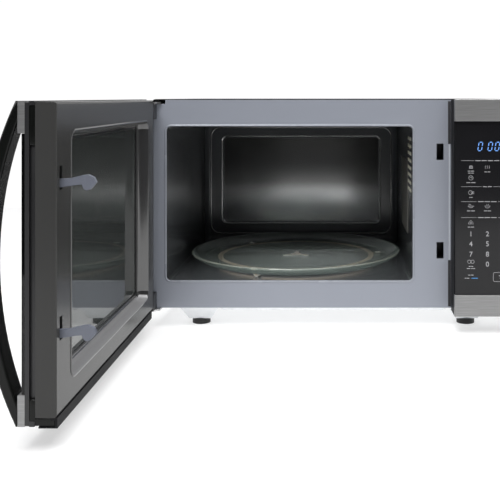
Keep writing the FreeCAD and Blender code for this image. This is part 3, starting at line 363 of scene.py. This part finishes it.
field_tree.links.new(field_shade.outputs["Result"],
                     field_tree.nodes["Principled BSDF"].inputs["Base Color"])
bevelled_block((pressed[0][0] + 0.003, wall_y + 0.0030, pressed[1][0] + 0.003),
               (pressed[0][1] - 0.003, wall_y + 0.0039, pressed[1][1] - 0.003), 0.0004, 2)
settle("pressed_field", field_enamel, "cabinet")

# ---- Punched holes in front of the oven lamp ---------------------------------
# The lamp shines through rows of punched holes in the right wall, whose rolled
# rims are bare metal.
hole_metal = coat("hole_metal", (0.80, 0.78, 0.66), 0.30, metallic=0.6, grain=900, relief=0)
facing_right = (0, math.radians(90), 0)
rims = []
hole_rows, hole_columns = 8, 7
first_hole = (-0.157, 0.19065)
hole_spread = (0.050, 0.076)
for row in range(hole_rows):
    for column in range(hole_columns):
        middle = (cavity_high.x - 0.0009,
                  first_hole[0] + hole_spread[0] * column / (hole_columns - 1),
                  first_hole[1] + hole_spread[1] * row / (hole_rows - 1))
        bpy.ops.mesh.primitive_torus_add(location=middle, rotation=facing_right,
                                         major_radius=0.0022, minor_radius=0.0005,
                                         major_segments=12, minor_segments=6)
        bpy.context.object.scale = (1, 1, 0.8)
        rims.append(bpy.context.object)
for rim in rims:
    rim.select_set(True)
bpy.ops.object.join()
bpy.ops.object.mode_set(mode="EDIT")
settle("lamp_hole_rims", hole_metal, "cabinet")


# ---- Turntable ---------------------------------------------------------------
# A pressed glass tray rests on a three-armed coupler, and its rim rolls on a
# loose ring of tan heat-proof plastic with three white wheels.
def clear_glass(name, colour, roughness, ior=1.5, clarity=1.0):
    """Tinted glass with a faint haze. clarity is the share of light that goes through."""
    made = bpy.data.materials.new(name)
    made.use_nodes = True
    tree = made.node_tree
    shader = tree.nodes["Principled BSDF"]
    shader.inputs["Transmission Weight"].default_value = clarity
    shader.inputs["IOR"].default_value = ior
    place = tree.nodes.new("ShaderNodeTexCoord")
    haze = tree.nodes.new("ShaderNodeTexNoise")
    haze.inputs["Scale"].default_value = 60.0
    tree.links.new(place.outputs["Object"], haze.inputs["Vector"])
    tint = tree.nodes.new("ShaderNodeValToRGB")
    tint.color_ramp.elements[0].color = (*[c * 0.97 for c in colour], 1)
    tint.color_ramp.elements[1].color = (*colour, 1)
    tree.links.new(haze.outputs["Fac"], tint.inputs["Fac"])
    tree.links.new(tint.outputs["Color"], shader.inputs["Base Color"])
    gloss = tree.nodes.new("ShaderNodeMapRange")
    gloss.inputs["To Min"].default_value = roughness * 0.6
    gloss.inputs["To Max"].default_value = roughness * 1.4
    tree.links.new(haze.outputs["Fac"], gloss.inputs["Value"])
    tree.links.new(gloss.outputs["Result"], shader.inputs["Roughness"])
    return made


tray_glass = clear_glass("tray_glass", (0.44, 0.50, 0.47), 0.03, ior=1.60, clarity=0.78)
ring_plastic = coat("ring_plastic", (0.55, 0.45, 0.35), 0.45, grain=500, relief=0.1)
dress(ring_plastic, "roller_ring")
dress(white_moulding, "roller_1", "roller_2", "roller_3", "tray_coupler", "drive_shaft")
dress(zinc, "turntable_motor")


# ---- Glass tray of the turntable ---------------------------------------------
# Pressed clear glass with a faint green tint: a flat middle and a rim that curves
# up to a rounded lip.
def turned_piece(profile, centre, steps):
    """Spins a closed outline of (radius, height) steps about a vertical axis."""
    bpy.ops.mesh.primitive_plane_add(size=0.001, location=(0, 0, 0))
    bpy.ops.object.mode_set(mode="EDIT")
    bpy.ops.mesh.select_all(action="SELECT")
    bpy.ops.mesh.merge(type="CENTER")
    start = profile[0]
    bpy.ops.transform.translate(value=(centre[0] + start[0], centre[1], centre[2] + start[1]))
    for before, after in zip(profile, profile[1:]):
        step = (after[0] - before[0], 0, after[1] - before[1])
        bpy.ops.mesh.extrude_region_move(TRANSFORM_OT_translate={"value": step})
    bpy.ops.mesh.select_all(action="SELECT")
    bpy.ops.mesh.spin(steps=steps, angle=2 * math.pi, center=(centre[0], centre[1], 0),
                      axis=(0, 0, 1))
    bpy.ops.mesh.select_all(action="SELECT")
    bpy.ops.mesh.remove_doubles(threshold=0.00002)
    bpy.ops.mesh.normals_make_consistent(inside=False)


tray_low, tray_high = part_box("glass_tray")
tray_centre = ((tray_low.x + tray_high.x) / 2, (tray_low.y + tray_high.y) / 2, tray_low.z)
tray_rim = (tray_high.x - tray_low.x) / 2
tray_lip = tray_high.z - tray_low.z
flat = tray_rim - 0.026
thick = 0.004
upper = [(0.0, thick), (0.014, thick),
         (flat - 0.004, thick), (flat + 0.004, thick + 0.0009), (flat + 0.010, thick + 0.0028),
         (tray_rim - 0.0052, tray_lip - 0.0016), (tray_rim - 0.0034, tray_lip - 0.0002),
         (tray_rim - 0.0016, tray_lip), (tray_rim - 0.0004, tray_lip - 0.0008),
         (tray_rim - 0.0001, tray_lip - 0.0022)]
under = [(tray_rim - 0.0016, tray_lip - 0.0044), (flat + 0.012, 0.0014), (flat + 0.004, 0.0001),
         (flat - 0.004, 0.0001), (0.0, 0.0001)]
turned_piece(upper + under, tray_centre, 128)
tray = settle("pressed_tray", tray_glass, "turntable", 50)
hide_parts("glass_tray")
tray.visible_shadow = False

# ---- Works behind the control panel ------------------------------------------
# Magnetron, transformer, capacitor, fan and boards. The cover hides them, and the
# vents show a little of them.
copper = coat("copper", (0.60, 0.27, 0.12), 0.35, metallic=1.0, grain=900, relief=0.3,
              stretch=(1, 1, 6))
ferrite = coat("ferrite", (0.03, 0.03, 0.03), 0.7, grain=900, relief=0.3)
mill_aluminium = coat("mill_aluminium", (0.68, 0.69, 0.71), 0.3, metallic=1.0, grain=350,
                      relief=0.1, stretch=(1, 1, 8))
core_iron = coat("core_iron", (0.10, 0.10, 0.11), 0.5, metallic=0.6, grain=500, relief=0.5,
                 stretch=(1, 1, 10))
board_green = coat("board_green", (0.02, 0.14, 0.05), 0.4, grain=300, relief=0.1, clear=0.3)
black_moulding = coat("black_moulding", (0.010, 0.010, 0.011), 0.40, grain=1500, relief=0.12)
dress(copper, "magnetron_anode", "transformer_windings")
dress(ferrite, "magnetron_magnets")
dress(mill_aluminium, "magnetron_fins", "hv_capacitor", "thermostats")
dress(core_iron, "transformer_core", "fan_motor")
dress(galvanised, "magnetron_yoke", "magnetron_filter_box", "waveguide", "capacitor_strap",
      "fan_shroud")
dress(board_green, "filter_board", "control_board")
dress(black_moulding, "hv_diode", "door_switches", "board_parts", "display_module",
      "latch_board")
dress(white_moulding, "fan_blade")

# ---- Control panel -----------------------------------------------------------
# A black moulded box closed by a printed black glass between two bands of brushed
# dark steel. The keys are printed on the glass, and the display shines through.
trim_steel = coat("trim_steel", (0.285, 0.285, 0.285), 0.46, metallic=0.9, grain=1500,
                  relief=0.25, tone=0.14, stretch=(0.02, 0.02, 1), relief_depth=0.00005)
black_glass = coat("black_glass", (0.007, 0.007, 0.008), 0.16, grain=30, relief=0)
black_glass.node_tree.nodes["Principled BSDF"].inputs["IOR"].default_value = 1.38
housing_plastic = coat("housing_plastic", (0.008, 0.008, 0.009), 0.6, grain=1500, relief=0.12)
housing_shader = housing_plastic.node_tree.nodes["Principled BSDF"]
housing_shader.inputs["Specular IOR Level"].default_value = 0.12
dress(housing_plastic, "panel_housing")
dress(trim_steel, "panel_bands", "door_bands")
dress(black_glass, "control_glass")

# ---- Printing on the control glass -------------------------------------------
# Pale grey ink: dividing lines, key signs and figures. Short bars stand where the
# captions of the keys are. The display is a row of slanted blue segments.
glass_low, glass_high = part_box("control_glass")
panel_middle = (glass_low.x + glass_high.x) / 2
ink = coat("key_ink", (0.34, 0.34, 0.35), 0.5, grain=1500, relief=0.05)
blue_ink = coat("blue_ink", (0.05, 0.22, 0.50), 0.5, grain=1500, relief=0.05)
ink_lift = 0.00008
columns = (-0.0229, 0.0, 0.0229)


def arc(x, z, radius, start=0, end=360, squeeze=1.0):
    """Points along an arc in mm, from one angle to another in degrees."""
    count = max(6, int(abs(end - start) / 22))
    turns = [math.radians(start + (end - start) * i / count) for i in range(count + 1)]
    return [(x + radius * math.cos(t), z + radius * squeeze * math.sin(t)) for t in turns]


def printed(name, strokes, width, material):
    """Thin raised lines on the glass, given in mm from the middle of the panel."""
    line = bpy.data.curves.new(name, "CURVE")
    line.dimensions = "3D"
    line.bevel_depth = width / 2000
    line.bevel_resolution = 0
    for stroke in strokes:
        run = line.splines.new("POLY")
        run.points.add(len(stroke) - 1)
        for point, (x, z) in zip(run.points, stroke):
            point.co = (x / 1000, 0, z / 1000, 1)
    drawn = bpy.data.objects.new(name, line)
    bpy.context.scene.collection.objects.link(drawn)
    bpy.context.view_layer.objects.active = drawn
    drawn.select_set(True)
    bpy.ops.object.convert(target="MESH")
    drawn = bpy.context.object
    drawn.scale = (1, 0.35, 1)
    drawn.location = (panel_middle, glass_low.y - ink_lift, 0)
    bpy.ops.object.mode_set(mode="EDIT")
    return settle(name, material, "cabinet")


left_key, middle_key, right_key = [c * 1000 for c in columns]
headings = ((240.7, 17.3), (204.6, 6.8), (183.8, 13.5), (161.7, 13.5))
rules = []
for height, half in headings:
    rules += [[(-36.5, height), (-half - 1.5, height)], [(half + 1.5, height), (36.5, height)]]
printed("panel_rules", rules, 0.42, ink)
captions = []
for height, half in headings:
    words = max(2, round(half / 4))
    for word in range(words):
        begin = -half + 2 * half * word / words
        captions.append([(begin + 0.5, height), (begin + 2 * half / words - 0.8, height)])
for x, height, half in ((left_key, 226.2, 4.4), (left_key, 223.4, 4.0), (middle_key, 225.1, 4.0),
                        (right_key, 225.1, 4.6), (left_key, 210.2, 6.2), (right_key, 211.0, 4.6),
                        (left_key, 189.7, 2.2), (right_key, 189.7, 3.8), (left_key, 171.0, 5.4),
                        (middle_key, 171.0, 4.8), (right_key, 171.0, 4.2), (left_key, 148.5, 4.4),
                        (right_key, 148.5, 4.6), (left_key, 93.9, 3.0), (left_key, 91.0, 5.8),
                        (right_key, 93.2, 3.6), (left_key, 81.9, 3.8), (left_key - 5.5, 77.5, 3.2),
                        (right_key - 1.5, 81.0, 5.4), (right_key - 1.5, 77.6, 4.2)):
    captions += [[(x - half, height), (x - 0.15 * half, height)],
                 [(x + 0.05 * half, height), (x + half, height)]]
printed("key_captions", captions, 0.95, ink)
printed("stop_key_bar", [[(left_key + 0.5, 77.5), (left_key + 9.5, 77.5)]], 1.1, blue_ink)
signs = []
signs += [arc(left_key, 231.8, 2.3, squeeze=0.8), arc(left_key, 231.8, 1.3, squeeze=0.8),
          [(left_key - 2.6, 230.0), (left_key + 2.6, 230.0)]]
for wave in (-2.6, 0.0, 2.6):
    signs += [[(middle_key + wave + 0.5, 233.8), (middle_key + wave - 0.5, 232.4),
               (middle_key + wave + 0.5, 231.0), (middle_key + wave - 0.5, 229.6)]]
signs += [arc(right_key, 231.5, 2.6),
          [(right_key, 233.2), (right_key, 231.5), (right_key + 1.4, 231.5)]]
signs += [arc(left_key, 216.8, 3.0),
          [(left_key - 1.2, 216.8), (left_key + 0.2, 218.2), (left_key + 1.6, 215.8)]]
signs += [arc(right_key, 217.2, 2.8, 0, 180), [(right_key - 3.6, 216.8), (right_key + 3.6, 216.8)]]
signs += [arc(left_key - 0.6, 196.3, 2.8), arc(left_key + 1.4, 196.3, 1.2),
          [(left_key + 2.6, 197.8), (left_key + 4.0, 197.8), (left_key + 4.0, 194.8),
           (left_key + 2.6, 194.8)]]
signs += [arc(right_key, 196.6, 2.6, 180, 360),
          [(right_key - 3.4, 196.8), (right_key + 3.4, 196.8)]]
signs += [arc(left_key, 177.6, 3.2, 180, 360, 0.7),
          [(left_key - 4.4, 177.6), (left_key + 4.4, 177.6)],
          arc(left_key - 1.4, 178.6, 1.4, 0, 180)]
signs += [arc(middle_key, 177.8, 3.4, 180, 360, 0.8),
          [(middle_key - 3.8, 177.8), (middle_key + 3.8, 177.8)],
          [(middle_key - 1.2, 179.0), (middle_key - 0.6, 180.2)],
          [(middle_key + 1.0, 179.0), (middle_key + 1.6, 180.2)]]
signs += [arc(right_key, 176.8, 2.6), arc(right_key, 176.8, 1.2)]
signs += [[(left_key - 3.4, 152.8), (left_key + 3.4, 152.8), (left_key + 2.6, 155.2),
           (left_key, 157.8), (left_key - 2.6, 155.2), (left_key - 3.4, 152.8)],
          arc(left_key, 154.6, 0.9)]
signs += [arc(right_key, 155.0, 2.8), [(right_key - 1.2, 155.0), (right_key + 1.2, 155.0)]]
signs += [arc(left_key - 2.3, 100.4, 2.3), arc(left_key + 2.3, 100.4, 2.3),
          [(left_key, 98.8), (left_key, 102.0)]]
signs += [arc(right_key, 100.4, 2.6, 40, 320),
          [(right_key + 0.8, 102.8), (right_key + 2.4, 102.2), (right_key + 2.0, 100.6)]]
box_left, box_right, box_low, box_high, box_round = 8.2, 36.0, 73.0, 85.5, 2.0
signs += [arc(box_right - box_round, box_high - box_round, box_round, 0, 90)
          + arc(box_left + box_round, box_high - box_round, box_round, 90, 180)
          + arc(box_left + box_round, box_low + box_round, box_round, 180, 270)
          + arc(box_right - box_round, box_low + box_round, box_round, 270, 360)
          + [(box_right, box_high - box_round)]]
printed("key_signs", signs, 0.5, ink)
figures = [(str(3 * row + column + 1), column, height)
           for row, height in enumerate((139.2, 125.4, 111.1)) for column in range(3)]
for figure, column, height in figures + [("0", 1, 97.2)]:
    foot = (panel_middle + columns[column], glass_low.y - 0.00002, height / 1000 - 0.0034)
    bpy.ops.object.text_add(location=foot, rotation=facing_front)
    letter = bpy.context.object
    letter.data.body = figure
    letter.data.size = 0.0096
    letter.data.align_x = "CENTER"
    letter.data.extrude = 0.00008
    letter.data.offset = 0.00005
    bpy.ops.object.convert(target="MESH")
    bpy.ops.object.mode_set(mode="EDIT")
    bpy.ops.mesh.select_all(action="SELECT")
    bpy.ops.mesh.remove_doubles(threshold=0.00001)
    settle("key_figure_" + figure, ink, "cabinet")
display_blue = coat("display_blue", (0.05, 0.15, 0.45), 0.4, grain=900, relief=0)
display_shader = display_blue.node_tree.nodes["Principled BSDF"]
display_shader.inputs["Emission Color"].default_value = (0.19, 0.40, 0.82, 1)
display_shader.inputs["Emission Strength"].default_value = 1.0
segments = []
tall, wide, lean, gap = 5.9, 5.2, 0.17, 0.9
display_height = 260.4
for x in (-9.9, 4.0, 13.7):
    for side in (-1, 1):
        shift = lean * side * tall
        segments.append([(x - wide / 2 + gap + shift, display_height + side * tall),
                         (x + wide / 2 - gap + shift, display_height + side * tall)])
        for half in (0, 1):
            ends = (gap - half * tall, tall - gap - half * tall)
            segments.append([(x + side * wide / 2 + lean * end, display_height + end)
                             for end in ends])
printed("display_segments", segments, 1.0, display_blue)

# ---- Door --------------------------------------------------------------------
# A steel frame with a perforated screen carries a dark glossy inner cover and a
# smoked inner pane at the back, and a printed black glass with steel bands in front.
door_cover = coat("door_cover", (0.040, 0.040, 0.039), 0.22, grain=1500, relief=0.02)
door_cover.node_tree.nodes["Principled BSDF"].inputs["IOR"].default_value = 1.27
smoked_glass = clear_glass("smoked_glass", (0.22, 0.24, 0.23), 0.03, ior=1.66, clarity=0.85)
front_glass = clear_glass("front_glass", (0.03, 0.03, 0.032), 0.03, ior=1.36)
screen_paint = coat("screen_paint", (0.05, 0.05, 0.05), 0.5, metallic=0.3, grain=600, relief=0.3)
screen_tree = screen_paint.node_tree
screen_shader = screen_tree.nodes["Principled BSDF"]
screen_place = screen_tree.nodes["Texture Coordinate"]
screen_holes = screen_tree.nodes.new("ShaderNodeTexVoronoi")
screen_holes.inputs["Scale"].default_value = 480.0
screen_holes.inputs["Randomness"].default_value = 0.0
screen_edge = screen_tree.nodes.new("ShaderNodeValToRGB")
screen_edge.color_ramp.elements[0].position = 0.36
screen_edge.color_ramp.elements[0].color = (0.002, 0.002, 0.002, 1)
screen_edge.color_ramp.elements[1].position = 0.42
screen_edge.color_ramp.elements[1].color = (0.035, 0.035, 0.035, 1)
screen_tree.links.new(screen_place.outputs["Object"], screen_holes.inputs["Vector"])
screen_tree.links.new(screen_holes.outputs["Distance"], screen_edge.inputs["Fac"])
screen_tree.links.new(screen_edge.outputs["Color"], screen_shader.inputs["Base Color"])
hook_plastic = coat("hook_plastic", (0.115, 0.125, 0.155), 0.40, grain=900, relief=0.06)
handle_gloss = coat("handle_gloss", (0.003, 0.0035, 0.003), 0.26, grain=900, relief=0.02)
handle_gloss.node_tree.nodes["Principled BSDF"].inputs["IOR"].default_value = 1.30
dress(door_cover, "inner_cover")
dress(smoked_glass, "inner_glass")
dress(screen_paint, "door_screen")
dress(cover_paint, "door_frame")
dress(black_moulding, "outer_frame", "hinge_blocks")
dress(housing_plastic, "bottom_trim")
dress(front_glass, "door_glass")
dress(handle_gloss, "door_handle")
dress(zinc, "handle_screws", "latch_spring")
dress(hook_plastic, "latch_slide")

# ---- Window bezel and gasket -------------------------------------------------
# The window sits in a deep recess with a glossy rounded bezel that runs down to
# the smoked pane, and a thin black gasket lies round the pane. Both are moulded
# rings pressed into the inner cover. The upward faces of the bezel's sill are
# painted paler, as painted light falling on them from above.
pane_low, pane_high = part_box("inner_glass")
cover_low, cover_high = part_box("inner_cover")
pane_hold = 0.007
recess = ((pane_low.y + pane_hold, pane_high.y - pane_hold),
          (pane_low.z + pane_hold, pane_high.z - pane_hold))
recess_middle = (cover_high.x + 0.0002, sum(recess[0]) / 2, sum(recess[1]) / 2)
recess_size = (recess[1][1] - recess[1][0], recess[0][1] - recess[0][0])
bezel_gloss = coat("bezel_gloss", (0.11, 0.11, 0.11), 0.10, metallic=0.75, grain=1200, relief=0.02)
sunk_ring(recess_middle, facing_right, (recess_size[0] + 0.002, recess_size[1] + 0.002), 0.013,
          [(0.0008, 0.0006), (0.0010, 0.0001), (0.0008, -0.0012), (0.0006, -0.0080),
           (0.0010, -0.0035), (0.0022, -0.0018), (0.0030, -0.0004)], 0.0003)
bezel = settle("window_bezel", bezel_gloss, "door")
# The sill's paler colour is painted light: its upward faces are shown lit from above.
sill_painted_light = coat("sill_painted_light", (0.27, 0.27, 0.275), 0.25, metallic=0.1, grain=1200, relief=0)
bezel.data.materials.append(sill_painted_light)
for face in bezel.data.polygons:
    faces_up = face.normal.z > 0.55
    if faces_up and face.center.z < recess[1][0] + 0.012:
        face.material_index = 1
pane_gasket = coat("pane_gasket", (0.006, 0.006, 0.006), 0.35, grain=900, relief=0.1)
sunk_ring((pane_high.x + 0.0004, recess_middle[1], recess_middle[2]), facing_right,
          (recess_size[0] - 0.009, recess_size[1] - 0.009), 0.009,
          [(0.0010, 0.0004), (0.0040, 0.0), (0.0010, -0.0004)], 0.0002)
settle("window_gasket", pane_gasket, "door")

# ---- Blocks of the door's free edge ------------------------------------------
# Short dark blocks close the free edge of the door above and below a long groove
# between the front panel and the inner cover. The groove has a shallow black floor.
door_low, door_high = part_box("outer_frame")
for name, bottom, top in (("edge_cap_top", 0.2845, door_high.z - 0.0012),
                          ("edge_cap_bottom", door_low.z + 0.0006, 0.0505)):
    bevelled_block((cover_low.x - 0.0062, door_low.y + 0.0004, bottom),
                   (cover_low.x + 0.0003, door_low.y + 0.0150, top), 0.0012)
    settle(name, handle_gloss, "door")

bevelled_block((cover_low.x - 0.0060, door_low.y + 0.0030, 0.0500),
               (cover_low.x + 0.0003, door_low.y + 0.0150, 0.2850), 0.0006, 2)
settle("edge_groove", black_moulding, "door")
bevelled_block((cover_low.x - 0.0055, door_low.y + 0.0006, door_low.z + 0.0004),
               (cover_low.x + 0.0180, door_low.y + 0.0120, cover_low.z - 0.0002), 0.0010)
settle("edge_cap_foot", handle_gloss, "door")
